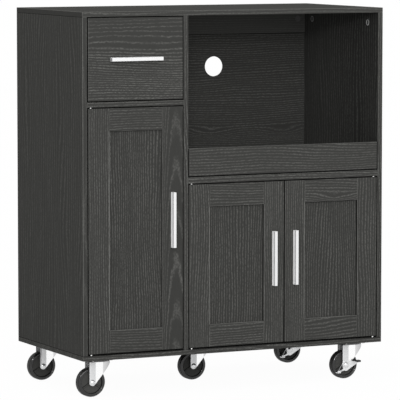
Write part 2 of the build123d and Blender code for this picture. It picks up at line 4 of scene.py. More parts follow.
import bpy
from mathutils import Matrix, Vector


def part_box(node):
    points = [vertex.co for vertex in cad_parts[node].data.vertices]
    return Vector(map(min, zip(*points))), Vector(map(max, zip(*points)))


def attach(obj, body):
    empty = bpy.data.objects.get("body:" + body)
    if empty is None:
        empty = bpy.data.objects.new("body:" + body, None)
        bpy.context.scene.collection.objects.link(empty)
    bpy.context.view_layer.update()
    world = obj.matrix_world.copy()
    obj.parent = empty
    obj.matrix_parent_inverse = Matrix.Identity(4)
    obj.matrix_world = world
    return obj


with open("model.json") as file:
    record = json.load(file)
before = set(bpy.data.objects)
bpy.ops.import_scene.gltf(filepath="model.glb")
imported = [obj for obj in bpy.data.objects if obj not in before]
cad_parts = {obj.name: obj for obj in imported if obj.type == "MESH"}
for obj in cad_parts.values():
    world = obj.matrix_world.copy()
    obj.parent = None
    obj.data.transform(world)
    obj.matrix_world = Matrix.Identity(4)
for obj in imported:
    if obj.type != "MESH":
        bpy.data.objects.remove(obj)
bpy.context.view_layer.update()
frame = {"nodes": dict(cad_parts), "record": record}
nodes = frame["nodes"]


class Wire:  # a shader socket that takes part in Python maths
    def __init__(self, tree, socket=None):
        self.tree = tree
        self.socket = socket

    def node(self, kind, settings=None, sockets=None, out=0):
        made = self.tree.nodes.new("ShaderNode" + kind)
        for key, value in (settings or {}).items():
            setattr(made, key, value)
        for key, value in (sockets or {}).items():
            if isinstance(value, Wire):
                self.tree.links.new(value.socket, made.inputs[key])
            else:
                made.inputs[key].default_value = value
        return Wire(self.tree, made.outputs[out])

    def maths(self, operation, first, second=0.0):
        return self.node("Math", {"operation": operation}, {0: first, 1: second})

    def __add__(self, other):
        return self.maths("ADD", self, other)

    def __radd__(self, other):
        return self.maths("ADD", other, self)

    def __sub__(self, other):
        return self.maths("SUBTRACT", self, other)

    def __rsub__(self, other):
        return self.maths("SUBTRACT", other, self)

    def __mul__(self, other):
        return self.maths("MULTIPLY", self, other)

    def __rmul__(self, other):
        return self.maths("MULTIPLY", other, self)

    def __truediv__(self, other):
        return self.maths("DIVIDE", self, other)

    def __pow__(self, other):
        return self.maths("POWER", self, other)

    def __gt__(self, other):
        return self.maths("GREATER_THAN", self, other)

    def __lt__(self, other):
        return self.maths("LESS_THAN", self, other)

    def __abs__(self):
        return self.maths("ABSOLUTE", self)

    def least(self, other):
        return self.maths("MINIMUM", self, other)

    def most(self, other):
        return self.maths("MAXIMUM", self, other)

    def sine(self):
        return self.maths("SINE", self)

    def floor(self):
        return self.maths("FLOOR", self)

    def sign(self):
        return self.maths("SIGN", self)

    def exponent(self):
        return self.maths("EXPONENT", self)

    def ramp(self, low, high):  # 0 at low, 1 at high, smooth between
        return self.node("MapRange", {"interpolation_type": "SMOOTHSTEP"},
                         {"Value": self, "From Min": low, "From Max": high})

    def fade(self, low, high):  # 1 at low, 0 at high
        return 1 - self.ramp(low, high)

    def squarely(self):  # 1 where a face looks straight this way
        return self.ramp(0.80, 0.93)

    def between(self, low, high):  # 0 to 1 made low to high
        return self * (high - low) + low

    def pick(self, inside, outside):  # this mask picks between two values
        return inside * self + outside * (1 - self)

    def blend(self, low, high):  # this value mixes two colours
        return self.node("Mix", {"data_type": "RGBA"}, {0: self, 6: low, 7: high}, 2)

    def vector(self, operation, other=(0.0, 0.0, 0.0)):
        return self.node("VectorMath", {"operation": operation}, {0: self, 1: other})

    def parts(self):
        split = self.node("SeparateXYZ", {}, {0: self}).socket.node
        return [Wire(self.tree, socket) for socket in split.outputs]

    def noise(self, scale, detail=2.0, rough=0.5):
        return self.node("TexNoise", {}, {"Vector": self, "Scale": scale, "Detail": detail,
                                          "Roughness": rough})

    def speckle(self, scale, low, high):
        return self.noise(scale, 3.0, 0.6).ramp(low, high)


def opaque(shade):
    return (*shade, 1.0)


def dulled(shade, share):
    return [share * part for part in shade]


def newFinish(name, fixed):
    finish = bpy.data.materials.new(name)
    finish.use_nodes = True
    shader = finish.node_tree.nodes["Principled BSDF"]
    for socket, value in fixed.items():
        shader.inputs[socket].default_value = value
    return finish, shader, Wire(finish.node_tree)


socketNames = {"color": "Base Color", "rough": "Roughness", "metal": "Metallic", "coat": "Coat Weight",
               "normal": "Normal"}


def feed(shader, **wires):
    for socket, wire in wires.items():
        wire.tree.links.new(wire.socket, shader.inputs[socketNames[socket]])


def objectPlace(bench):  # a point's place in the CAD frame, which moves with its body
    return bench.node("TexCoord", out="Object")


def objectFacing(bench):  # which way a face looks in the CAD frame
    return bench.node("TexCoord", out="Normal")


def dress(node, finish):
    slots = nodes[node].data.materials
    if len(slots):
        for index in range(len(slots)):
            slots[index] = finish
    else:
        slots.append(finish)


# Dark wood grain: charcoal board with raised pale lines along the grain, set closer here and wider there.
darkWood = {
    "hollow": (0.0520, 0.0520, 0.0492),  # between the lines
    "line": (0.1400, 0.1400, 0.1324),
    "bevel": (0.1500, 0.1500, 0.1420),  # painted highlight on bevels that look left or up
    "arris": (0.2000, 0.2000, 0.1900),  # painted highlight on the sharp edge of a stile beside its panel
    "shadeTone": (0.0120, 0.0120, 0.0115),  # painted shade, seen in the gaps and on an open door's edges
    "pitch": 0.0064,  # line to line, across the grain
    "sharp": 2.5,  # higher for thinner lines
    "drift": 8.0,  # lines gained or lost as the spacing changes
    "waver": 0.44,  # in lines, as are the next two
    "jag": 0.36,
    "tooth": 0.32,
    "strength": (0.30, 0.68, 0.55),  # how lines differ: noise from and to, least share
    "beads": (0.32, 0.64, 0.34),  # the same along each line
    "fibre": 0.30,
    "cloud": 0.12,
    "even": 0.26,  # tone of a board without contrast
    "tones": (-0.12, 1.05),
    "edgeLight": (-0.2, 0.6),  # painted edge highlight, from none on the faces that look right or down to full on those that look left or up
    # patches that break up the painted edge highlights
    "patchy": (0.25, 0.70, 0.55),
    "insideSeed": 0.50,
    "railSeed": 0.37,
    "flameSeed": 0.61,
    "rough": (0.52, 0.66),
    "relief": 0.00018,
    "fixed": {"Specular IOR Level": 0.0},
}
grainNoise = {  # stretch across and along the grain, seed, scale, detail, roughness
    "drift": (1.0, 0.22, 1.0, 8.5, 1.0, 0.5),
    "waver": (1.0, 0.55, 1.7, 34.0, 1.0, 0.5),
    "jag": (1.5, 1.0, 1.3, 58.0, 1.0, 0.5),
    "tooth": (1.0, 0.80, 0.7, 190.0, 1.0, 0.5),
    "strength": (0.731, 7.0, 1.0, 1.0, 1.0, 0.5),  # across by the line's number
    "beads": (1.0, 0.60, 2.3, 330.0, 1.0, 0.5),
    "fibre": (1.0, 0.05, 3.1, 700.0, 2.0, 0.6),
}
edges = {  # metres from an edge: full at the first, gone at the second
    "paleLeft": (0.0012, 0.0022),
    "paleStile": (0.0018, 0.0026),
    "paleRail": (0.0012, 0.0020),
    "corner": (0.0010, 0.0020),
    "rim": (0.0010, 0.0016),
    "rimDepth": (0.0055, 0.0075),  # painted shade only on the front of an edge, which a gap shows
    "opening": (0.0002, 0.0006),
    "right": (0.0007, 0.0013),
    "foot": (0.0010, 0.0017),
    "recess": (0.0045, 0.0065),
    "joint": (0.0005, 0.0012),
    "shadow": (0.0010, 0.0018),
}
quarter = 0.25  # of a line, from its side to its crest


class Spot:  # a point of a board: its place, the way its face looks, and the board's box
    def __init__(self, bench, box):
        self.place = objectPlace(bench)
        self.x, self.y, self.z = self.place.parts()
        facing = objectFacing(bench)
        self.towardX, self.towardY, self.towardZ = facing.parts()
        self.squareX, self.squareY, self.squareZ = facing.vector("ABSOLUTE").parts()
        self.lo, self.hi = box

    def measureOpening(self, middle, half):  # of a door's frame, between its stiles and rails
        self.middle = middle
        self.fromMiddle = self.x - middle.x
        self.pastSide = abs(self.fromMiddle) - half[0]
        self.pastEnd = abs(self.z - middle.z) - half[1]
        self.stile = self.pastSide > 0.0


def streaks(kind, across, lengthways, shift):  # noise drawn out along the grain
    wide, long, seed, scale, detail, rough = grainNoise[kind]
    drawn = across.node("CombineXYZ", {}, {0: across * wide, 1: lengthways * long, 2: shift * seed})
    return drawn.noise(scale, detail, rough)


def soften(tone, contrast):
    return tone * contrast + darkWood["even"] * (1 - contrast)


def grainOf(spot, along, shift, pitch, look):
    lengthways = getattr(spot, along)
    first, second = {"x": (spot.y, spot.z), "y": (spot.x, spot.z), "z": (spot.x, spot.y)}[along]
    across = first + second
    grain = (across, lengthways, shift)
    run = across / pitch
    sharp = darkWood["sharp"]
    drift = darkWood["drift"]
    if "loose" in look:  # lines further apart, thinner and fainter beyond a place
        loose = look["loose"]
        beyond = across - loose["start"]
        run = run - beyond.most(0.0) * (loose["share"] / pitch)
        beyond = beyond.ramp(*loose["over"])
        sharp = beyond * loose["thinner"] + sharp
    if "flame" in look:  # tall arches, as in a flat-sawn board
        flame = look["flame"]
        aside = (across - flame["middle"]) ** 2.0
        run = (lengthways - flame["foot"]) * flame["rate"]
        run = run + aside * (aside * flame["steep"] + flame["bend"]) + quarter
        sharp = sharp * flame["sharper"]
        drift = drift * flame["calmer"]
    for knot in look.get("knots", ()):  # lines that flow round an eye
        if knot["along"] == along:
            far = ((lengthways - knot["middle"][0]) / knot["reach"][0]) ** 2.0
            far = far + ((across - knot["middle"][1]) / knot["reach"][1]) ** 2.0
            run = run + (far * -1.0).exponent() * knot["lift"]
    cloud = streaks("drift", *grain)
    run = run + (cloud - 0.5) * drift + (streaks("waver", *grain) - 0.5) * darkWood["waver"]
    count = run + streaks("jag", *grain) * darkWood["jag"] + streaks("tooth", *grain) * darkWood["tooth"]
    lines = ((count * (2 * math.pi)).sine() * 0.5 + 0.5) ** sharp
    number = (count + quarter).floor()
    low, high, share = darkWood["strength"]
    lines = lines * streaks("strength", number, lengthways, shift).ramp(low, high).between(share, 1.0)
    low, high, share = darkWood["beads"]
    lines = lines * streaks("beads", *grain).ramp(low, high).between(share, 1.0)
    if "loose" in look:
        lines = lines * (1 - beyond * look["loose"]["fainter"])
    return lines, streaks("fibre", *grain), cloud


def boardGrain(spot, along, shift, look):
    pitch = look.get("pitch", darkWood["pitch"])
    figure = {key: look[key] for key in ("loose", "knots") if key in look}
    lines, fibre, cloud = grainOf(spot, along, shift, pitch, figure)
    if "inside" in look:  # a wider pitch on the face that looks into the niche
        inside = look["inside"]
        inward = spot.towardX < 0.0
        seed = shift + darkWood["insideSeed"]
        insideLines, insideFibre, _ = grainOf(spot, along, seed, inside["pitch"], figure)
        lines = inward.pick(soften(insideLines, inside["contrast"]), lines)
        fibre = inward.pick(insideFibre, fibre)
    if "flame" in look:  # on the stile with the lock alone
        flame = {"flame": look["flame"]}
        flameLines, _, _ = grainOf(spot, along, shift + darkWood["flameSeed"], pitch, flame)
        lines = (spot.fromMiddle > 0.0).pick(flameLines, lines)
    if "opening" in look:  # rails run across, between two stiles
        railLines, railFibre, _ = grainOf(spot, "x", shift + darkWood["railSeed"], pitch, figure)
        lines = spot.stile.pick(lines, railLines)
        fibre = spot.stile.pick(fibre, railFibre)
    return lines, fibre, cloud


def gradeInside(spot, shade, line, inside):  # painted light at the back of the niche and painted shade at its front
    inward = spot.towardX < 0.0
    deep = (spot.y - spot.lo.y) / (spot.hi.y - spot.lo.y)
    shade = (inward * deep.ramp(*inside["paleOver"]) * inside["pale"]).blend(shade, opaque(line))
    return (inward * deep.fade(*inside["darkOver"]) * inside["dark"]).blend(shade, opaque(darkWood["shadeTone"]))


# painted highlight: bevels that look left or up, the top edge of a door's foot rail and a stile's edge
# beside its panel are painted pale, as if lit
def paintEdgeHighlights(spot, shade, look):
    low, high, share = darkWood["patchy"]
    patchy = spot.place.noise(70.0, 2.0).ramp(low, high).between(share, 1.0)
    bevel = 1 - spot.squareX.most(spot.squareY).most(spot.squareZ).squarely()
    pale = bevel * (spot.towardZ - spot.towardX).ramp(*darkWood["edgeLight"]) * look.get("edgeLight", 1.0)
    if "opening" in look:
        foot = spot.pastEnd.fade(*edges["paleRail"]) * (spot.pastEnd > 0.0)
        pale = pale.most(foot * (1 - spot.stile) * (spot.z < spot.middle.z) * 0.5)
    shade = (pale * patchy).blend(shade, opaque(darkWood["bevel"]))
    if "opening" in look:
        beside = spot.pastSide.fade(*edges["paleStile"]) * spot.stile * (spot.pastEnd < 0.0)
        arris = beside * (spot.fromMiddle < 0.0)
        arris = arris.most(beside * (spot.fromMiddle > 0.0) * (0.8 * look["lockSide"] - 0.25))
        shade = (arris * patchy).blend(shade, opaque(darkWood["arris"]))
    return shade


# painted shade on the edges that the gaps show, and a painted highlight along the left edge
def paintGapEdges(spot, shade, look):
    fromLeft = spot.x - spot.lo.x
    fromRight = spot.hi.x - spot.x
    fromFoot = spot.z - spot.lo.z
    fromTop = spot.hi.z - spot.z
    shade = (fromLeft.fade(*edges["paleLeft"]) * 0.5).blend(shade, opaque(darkWood["bevel"]))
    rim = fromLeft.least(fromRight).least(fromFoot).least(fromTop).fade(*edges["rim"])
    front = (spot.y - spot.lo.y).fade(*edges["rimDepth"])
    rim = rim * front.most(spot.towardZ.ramp(0.3, 0.6) * 0.75)
    if "opening" in look:
        inner = spot.pastSide.most(spot.pastEnd).fade(*edges["opening"])
        rim = rim.most(inner * spot.towardZ.fade(0.2, 0.5) * look["lockSide"])
    dark = rim * (1 - spot.squareY.squarely())
    dark = dark.most(fromRight.fade(*edges["right"])).most(fromFoot.fade(*edges["foot"]))
    if look["shadedGaps"] == "lip":  # its top edge stays pale
        dark = dark * spot.towardZ.fade(0.2, 0.4)
    return dark.blend(shade, opaque(darkWood["shadeTone"]))


def drawLines(spot, shade, look, hollow):
    shadeTone = opaque(darkWood["shadeTone"])
    if "corner" in look:  # painted highlight beside the outer front edge
        pale = (spot.x - spot.lo.x).fade(*edges["corner"]) * spot.squareY.squarely()
        shade = (pale * look["corner"]).blend(shade, opaque(darkWood["bevel"]))
    for side, top in look.get("recess", ()):  # painted shade inside the front edges, beside a door or the drawer
        dark = (spot.towardX * side).squarely() * (spot.y - spot.lo.y).fade(*edges["recess"])
        shade = (dark * (spot.z < top)).blend(shade, shadeTone)
    if "end" in look:  # painted shade: the left end of a board, a little darker
        shade = ((spot.towardX * -1.0).squarely() * look["end"]).blend(shade, opaque(hollow))
    if "joint" in look:  # painted shade along the top edge, under the next board or a door
        seen = spot.towardX if look["joint"] == "left" else spot.towardX.least(spot.towardY)
        shade = ((spot.hi.z - spot.z).fade(*edges["joint"]) * (seen < -0.1)).blend(shade, shadeTone)
    if "shadow" in look:  # along the lower edge
        shade = ((spot.z - spot.lo.z).fade(*edges["shadow"]) * look["shadow"]).blend(shade, shadeTone)
    return shade


def woodFinish(name, along, shift, box, look):
    finish, shader, bench = newFinish(name, darkWood["fixed"])
    spot = Spot(bench, box)
    if "opening" in look:
        spot.measureOpening(*look["opening"])
    contrast = look.get("contrast", 1.0)
    hollow = dulled(darkWood["hollow"], look.get("dim", 1.0))
    line = dulled(darkWood["line"], look.get("dim", 1.0))
    lines, fibre, cloud = boardGrain(spot, along, shift, look)
    tone = soften(lines + (fibre - 0.5) * darkWood["fibre"] + (cloud - 0.5) * darkWood["cloud"], contrast)
    shade = tone.ramp(*darkWood["tones"]).blend(opaque(hollow), opaque(line))
    if "inside" in look:
        shade = gradeInside(spot, shade, line, look["inside"])
    shade = paintEdgeHighlights(spot, shade, look)
    if "shadedGaps" in look:
        shade = paintGapEdges(spot, shade, look)
    shade = drawLines(spot, shade, look, hollow)
    bump = bench.node("Bump", {}, {"Strength": 0.5 * contrast, "Distance": darkWood["relief"],
                                   "Height": lines * 0.75 + fibre * 0.25})
    low, high = darkWood["rough"]
    feed(shader, color=shade, rough=tone.between(high, low), normal=bump)
    return finish


boards = {  # each board's grain direction
    "x": ["top_panel", "bottom_panel", "drawer_shelf", "microwave_shelf", "rear_rail", "left_back_panel",
          "right_back_panel", "left_inner_shelf", "right_inner_shelf", "drawer_front", "drawer_back",
          "drawer_bottom", "tray_front", "tray_board"],
    "y": ["drawer_sides"],
    "z": ["left_side_panel", "right_side_panel", "divider_panel", "left_door_frame", "left_door_panel",
          "centre_door_frame", "centre_door_panel", "right_door_frame", "right_door_panel"],
}
boardSeed = 0.731  # sets the boards' grain apart
anyHeight = 1.0
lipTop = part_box("tray_front")[1].z
# pale and dark: strengths of the painted light at the back and the painted shade at the front of the
# niche's wall
nicheWall = {"pitch": 0.0115, "contrast": 1.20, "pale": 0.38, "paleOver": (0.1, 0.9),
             "dark": 0.46, "darkOver": (-0.1, 0.75)}
nicheKnots = (
    {"along": "x", "middle": (0.110, 0.786), "reach": (0.070, 0.016), "lift": 3.0},
    {"along": "x", "middle": (0.330, 0.784), "reach": (0.060, 0.014), "lift": 2.6},
)
drawerLoose = {"start": 0.632, "share": 0.33, "over": (-0.01, 0.02), "thinner": 3.0, "fainter": 0.30}
# dim scales a board's colours to how it is lit: below 1 it paints shade, as on the recessed door panels and
# the left side, above 1 it paints light, as on the rear rail
boardLooks = {
    "left_side_panel": {"contrast": 0.42, "dim": 0.84, "pitch": 0.0125, "recess": ((1, anyHeight),),
                        "corner": 0.7, "joint": "left"},
    "divider_panel": {"recess": ((-1, anyHeight), (1, lipTop))},
    "right_side_panel": {"dim": 0.92, "inside": nicheWall, "recess": ((-1, lipTop),)},
    "top_panel": {"contrast": 0.6, "edgeLight": 1.25, "end": 1.0},
    "bottom_panel": {"edgeLight": 0.8, "joint": "left and front"},
    "rear_rail": {"contrast": 0.3, "dim": 1.25, "shadow": 1.0},
    "drawer_front": {"shadedGaps": "front", "contrast": 1.05, "dim": 1.02, "loose": drawerLoose},
    "right_back_panel": {"contrast": 0.8, "dim": 0.95, "pitch": 0.0058, "knots": nicheKnots},
    "tray_front": {"contrast": 0.75, "dim": 0.94, "pitch": 0.0058, "shadedGaps": "lip"},
    "left_door_panel": {"dim": 0.87},
    "centre_door_panel": {"dim": 0.87},
    "right_door_panel": {"dim": 0.87},
}
stileWidth = 0.055
doorFlame = {"foot": 0.258, "middle": -0.3515, "rate": 9.43, "bend": 1680.0, "steep": 1.0e6,
             "sharper": 1.6, "calmer": 0.12}
railKnots = ({"along": "x", "middle": (0.270, 0.260), "reach": (0.060, 0.014), "lift": 2.6},)
doors = {  # lockSide: strength of the painted shade line and painted highlight between the panel and the stile with the lock
    "left_door": {"contrast": 0.8, "dim": 0.92, "lockSide": 0.35, "flame": doorFlame},
    "centre_door": {"contrast": 0.92, "dim": 0.97, "lockSide": 1.0},
    "right_door": {"contrast": 0.92, "dim": 0.97, "lockSide": 1.0, "knots": railKnots},
}
for door, doorLook in doors.items():
    lo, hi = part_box(door + "_frame")
    half = (hi - lo) / 2
    opening = ((lo + hi) / 2, (half.x - stileWidth, half.z - stileWidth))
    boardLooks[door + "_frame"] = {"shadedGaps": "front", "opening": opening, **doorLook}
boardNumber = 0
for along, names in boards.items():
    for node in names:
        boardNumber += 1
        boardLook = boardLooks.get(node, {})
        dress(node, woodFinish("wood_" + node, along, boardSeed * boardNumber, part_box(node), boardLook))
print("wood:", boardNumber, "finishes")


# Metals: satin bars, bright zinc, nickel.
metals = {
    "handle_aluminium": {"shade": (0.90, 0.90, 0.90), "deep": (0.87, 0.87, 0.875), "rough": (0.30, 0.36),
                         "side": (0.70, 0.70, 0.705), "corner": (0.70, 0.70, 0.705),
                         "stretch": (30.0, 800.0, 800.0), "fixed": {"Metallic": 0.35}},
    "handle_upright": {"shade": (0.91, 0.91, 0.91), "deep": (0.88, 0.88, 0.885), "rough": (0.30, 0.36),
                       "side": (0.985, 0.985, 0.985), "corner": (0.22, 0.22, 0.225),
                       "stretch": (800.0, 800.0, 30.0), "fixed": {"Metallic": 0.05}},
    "zinc_steel": {"shade": (0.80, 0.805, 0.81), "deep": (0.74, 0.745, 0.75), "rough": (0.22, 0.30),
                   "stretch": (300.0, 300.0, 300.0), "fixed": {"Metallic": 0.75}},
    "nickel_steel": {"shade": (0.66, 0.65, 0.63), "deep": (0.52, 0.51, 0.50), "rough": (0.24, 0.38),
                     "stretch": (420.0, 420.0, 420.0), "fixed": {"Metallic": 0.8}},
    "polished_pins": {"shade": (0.97, 0.97, 0.96), "deep": (0.92, 0.92, 0.91), "rough": (0.10, 0.18),
                      "stretch": (300.0, 300.0, 300.0), "fixed": {"Metallic": 1.0}},
    # painted highlight: the bright rims round the cam discs
    "bright_rims": {"shade": (0.92, 0.92, 0.91), "deep": (0.84, 0.84, 0.83), "rough": (0.25, 0.35),
                    "stretch": (420.0, 420.0, 420.0), "fixed": {"Metallic": 0.3}},
    # painted shade: the caster plates, dark as in the shade under the cabinet
    "plate_zinc": {"shade": (0.16, 0.16, 0.162), "deep": (0.11, 0.11, 0.112), "rough": (0.40, 0.55),
                   "stretch": (300.0, 300.0, 300.0), "fixed": {"Metallic": 0.2}},
    "runner_zinc": {"shade": (0.66, 0.665, 0.67), "deep": (0.58, 0.585, 0.59), "rough": (0.30, 0.36),
                    "stretch": (500.0, 14.0, 500.0), "fixed": {"Metallic": 0.7}},
    "dull_zinc": {"shade": (0.13, 0.13, 0.128), "deep": (0.09, 0.09, 0.088), "rough": (0.45, 0.60),
                  "stretch": (420.0, 420.0, 420.0), "fixed": {"Metallic": 0.2}},
}
metalOf = {  # nodes whose metal looks different from the rest of their slot
    "cam_fittings": "dull_zinc",
    "caster_plates": "plate_zinc",
    "door_pivot_pins": "polished_pins",
    "drawer_rails": "runner_zinc",
    "drawer_hardware": "runner_zinc",
    "tray_rails": "runner_zinc",
    "tray_slides": "runner_zinc",
    "left_door_handle": "handle_upright",
    "centre_door_handle": "handle_upright",
    "right_door_handle": "handle_upright",
}
bar = {  # the handles' bars
    "front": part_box("left_door_handle")[0].y,
    "cornerDepth": 0.0016,
    "flat": (0.4, 0.9),  # from the faces round a bar to its front
    "cornerFrom": (0.15, 0.35),
    "cornerTo": (0.90, 0.98),
}


def metalFinish(name, look):
    finish, shader, bench = newFinish(name, look["fixed"])
    place = objectPlace(bench)
    brushed = place.vector("MULTIPLY", look["stretch"]).noise(1.0, 3.0, 0.6)
    mix = (brushed * 0.7 + place.noise(40.0, 2.0) * 0.3).ramp(0.25, 0.75)
    shade = mix.blend(opaque(look["deep"]), opaque(look["shade"]))
    # painted light and shade: the faces round a bar get their own tone, lighter or darker than its front,
    # and a dark line is painted along its left front corner
    if "side" in look:
        facing = objectFacing(bench)
        towardX, _, _ = facing.parts()
        _, squareY, _ = facing.vector("ABSOLUTE").parts()
        _, y, _ = place.parts()
        shade = squareY.ramp(*bar["flat"]).blend(opaque(look["side"]), shade)
        corner = squareY.ramp(*bar["cornerFrom"]) * squareY.fade(*bar["cornerTo"])
        corner = corner * (towardX < -0.1) * (y < bar["front"] + bar["cornerDepth"])
        shade = corner.blend(shade, opaque(look["corner"]))
    bump = bench.node("Bump", {}, {"Strength": 0.03, "Distance": 0.0001, "Height": brushed})
    low, high = look["rough"]
    feed(shader, color=shade, rough=mix.between(high, low), normal=bump)
    return finish


fork = {  # metres from the axle, towards the kingpin
    "web": (1.00, 1.00, 1.00),
    "webFrom": (0.0080, 0.0083),
    "bend": (0.66, 0.66, 0.665),  # painted shade where the web turns round to the far side
    "bendFrom": (0.0262, 0.0290),
    # painted shade, darker still towards the nose
    "nose": (0.50, 0.50, 0.505),
    "noseFrom": (0.0290, 0.0470),
    "strip": (0.77, 0.775, 0.78),  # the flat pressed strip over the axle, painted greyer than the web as shade
    "lip": (0.84, 0.845, 0.85),  # its bent edge, painted paler as a highlight
    "lipTo": (-0.0058, -0.0048),
    "cut": (0.20, 0.20, 0.205),  # painted shade along the sheet's cut edge
    "cutTo": (-0.0075, -0.0072),
    # painted highlight along the strip's right border
    "border": (0.79, 0.795, 0.80),
    "borderFrom": (0.0067, 0.0071),
    "spangle": (420.0, 0.3, 0.7),
    "rough": (0.16, 0.22),
    "fixed": {"Specular IOR Level": 0.1},
}


def forkFinish(name, axle):
    finish, shader, bench = newFinish(name, fork["fixed"])
    place = objectPlace(bench)
    x, y, _ = place.vector("SUBTRACT", axle).parts()
    _, towardY, _ = objectFacing(bench).parts()
    outward = (towardY * y.sign()).ramp(0.3, 0.7)
    web = x.ramp(*fork["webFrom"])
    plate = x.fade(*fork["lipTo"]).blend(opaque(fork["strip"]), opaque(fork["lip"]))
    plate = x.ramp(*fork["borderFrom"]).blend(plate, opaque(fork["border"]))
    plate = x.fade(*fork["cutTo"]).blend(plate, opaque(fork["cut"]))
    plate = web.blend(plate, opaque(fork["web"]))
    plate = x.ramp(*fork["bendFrom"]).blend(plate, opaque(fork["bend"]))
    plate = x.ramp(*fork["noseFrom"]).blend(plate, opaque(fork["nose"]))
    spangle = place.speckle(*fork["spangle"])
    shade = (spangle * 0.04).blend(plate, opaque(dulled(fork["web"], 0.96)))
    metal = outward * web.between(0.40, 0.92) + 0.08
    feed(shader, color=shade, rough=spangle.between(*fork["rough"]), metal=metal)
    return finish


lever = {  # metres from the axle
    "plate": (0.86, 0.865, 0.87),
    "arm": (0.64, 0.645, 0.65),  # towards the pedal
    "armFrom": (0.008, 0.024),
    "armUp": (-0.006, 0.004),
    "ring": (0.50, 0.505, 0.51),  # painted shade round the foot of the boss
    "ringRadius": 0.0082,
    "ringEdge": (0.0003, 0.0010),
    # painted shade on the stay
    "stay": (0.24, 0.242, 0.245),
    "stayTo": (-0.0115, -0.0090),
    "stayUp": (-0.0150, -0.0130),
    "mottle": (350.0, 0.3, 0.7),
    "rough": (0.18, 0.30),
    "fixed": {"Metallic": 0.7},
}


def leverFinish(name, axle):
    finish, shader, bench = newFinish(name, lever["fixed"])
    place = objectPlace(bench)
    x, _, z = place.vector("SUBTRACT", axle).parts()
    radius = (x * x + z * z) ** 0.5
    mottle = place.speckle(*lever["mottle"])
    arm = x.ramp(*lever["armFrom"]) * z.ramp(*lever["armUp"])
    plate = arm.blend(opaque(lever["plate"]), opaque(lever["arm"]))
    ring = abs(radius - lever["ringRadius"]).fade(*lever["ringEdge"])
    plate = (ring * mottle.between(0.5, 1.0)).blend(plate, opaque(lever["ring"]))
    stay = x.fade(*lever["stayTo"]) * z.ramp(*lever["stayUp"])
    plate = stay.blend(plate, opaque(lever["stay"]))
    shade = (mottle * 0.35).blend(plate, opaque(dulled(lever["plate"], 0.8)))
    feed(shader, color=shade, rough=mottle.between(*lever["rough"]))
    return finish


def middleOf(node):
    lo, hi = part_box(node)
    return (lo + hi) / 2


slotOf = {entry["node"]: entry["material_slot"] for entry in frame["record"]["subparts"]}
metalFinishes = {name: metalFinish(name, look) for name, look in metals.items()}
for node, slot in slotOf.items():
    if node.endswith("_fork"):
        dress(node, forkFinish("zinc_" + node, middleOf(node.replace("_fork", "_wheel"))))
    elif node.endswith("_brake_lever"):
        dress(node, leverFinish("zinc_" + node, middleOf(node.replace("_brake_lever", "_wheel"))))
    elif slot in metals:
        dress(node, metalFinishes[metalOf.get(node, slot)])
print("metals:", len(metals), "finishes, forks and levers")


# Rubber wheels and black plastic.
rubber = {  # radii in metres
    "web": (0.074, 0.074, 0.071),
    "dusty": (0.040, 0.040, 0.0385),
    "dust": (220.0, 0.42, 0.80),
    "hubEdge": (0.0070, 0.0075),
    "rim": (0.008, 0.008, 0.0078),
    "rimRadius": 0.0270,
    "rimStart": 0.0268,
    # painted shade: the tread, darker than the wheel's faces
    "tread": (0.024, 0.024, 0.023),
    "treadFrom": (0.0325, 0.0345),
    "creaseShade": (0.010, 0.010, 0.010),  # painted shade in the corners at the rim and along the ribs
    "creaseShadeRadius": 0.0265,
    "creaseShadeEdge": (0.0004, 0.0009),
    "lip": (0.020, 0.020, 0.0195),  # painted highlight: a paler line round the rim's edge
    "lipFrom": (0.0270, 0.0273),
    "lipTo": (0.0284, 0.0292),
    "ribs": (90, 210, 330),  # degrees
    "ribSide": 0.0018,
    "ribEdge": (0.0003, 0.0007),
    "polishFrom": (0.0266, 0.0272),  # left by the mould
    "polishTo": (0.0338, 0.0346),
    "rough": (0.38, 0.55),
    "fixed": {"Specular IOR Level": 0.08, "Coat Roughness": 0.06, "Coat IOR": 1.5},
}


def wheelFinish(name, axle):
    finish, shader, bench = newFinish(name, rubber["fixed"])
    place = objectPlace(bench)
    x, _, z = place.vector("SUBTRACT", axle).parts()
    _, squareY, _ = objectFacing(bench).vector("ABSOLUTE").parts()
    radius = (x * x + z * z) ** 0.5
    creaseShade = abs(radius - rubber["creaseShadeRadius"]).fade(*rubber["creaseShadeEdge"])
    inWeb = radius.ramp(*rubber["hubEdge"]) * (radius < rubber["rimRadius"])
    for angle in rubber["ribs"]:
        runX = math.cos(math.radians(angle))
        runZ = math.sin(math.radians(angle))
        aside = abs(abs(x * runZ - z * runX) - rubber["ribSide"])
        outward = (x * runX + z * runZ) > 0.0
        creaseShade = creaseShade.most(aside.fade(*rubber["ribEdge"]) * outward * inWeb)
    dust = place.speckle(*rubber["dust"])
    shade = (dust * 0.4).blend(opaque(rubber["web"]), opaque(rubber["dusty"]))
    shade = (radius > rubber["rimStart"]).blend(shade, opaque(rubber["rim"]))
    tread = radius.ramp(*rubber["treadFrom"]) * squareY.fade(0.4, 0.8)
    shade = tread.blend(shade, opaque(rubber["tread"]))
    lip = radius.ramp(*rubber["lipFrom"]) * radius.fade(*rubber["lipTo"]) * squareY.ramp(0.2, 0.5)
    shade = lip.blend(shade, opaque(rubber["lip"]))
    shade = creaseShade.blend(shade, opaque(rubber["creaseShade"]))
    polish = radius.ramp(*rubber["polishFrom"]) * radius.fade(*rubber["polishTo"])
    feed(shader, color=shade, rough=dust.between(*rubber["rough"]), coat=polish)
    return finish


blackPlastic = {
    "shade": (0.020, 0.020, 0.021),
    "patchy": (0.045, 0.045, 0.046),
    "rough": (0.38, 0.55),
    "relief": 0.0002,
    "fixed": {"Specular IOR Level": 0.45},
}


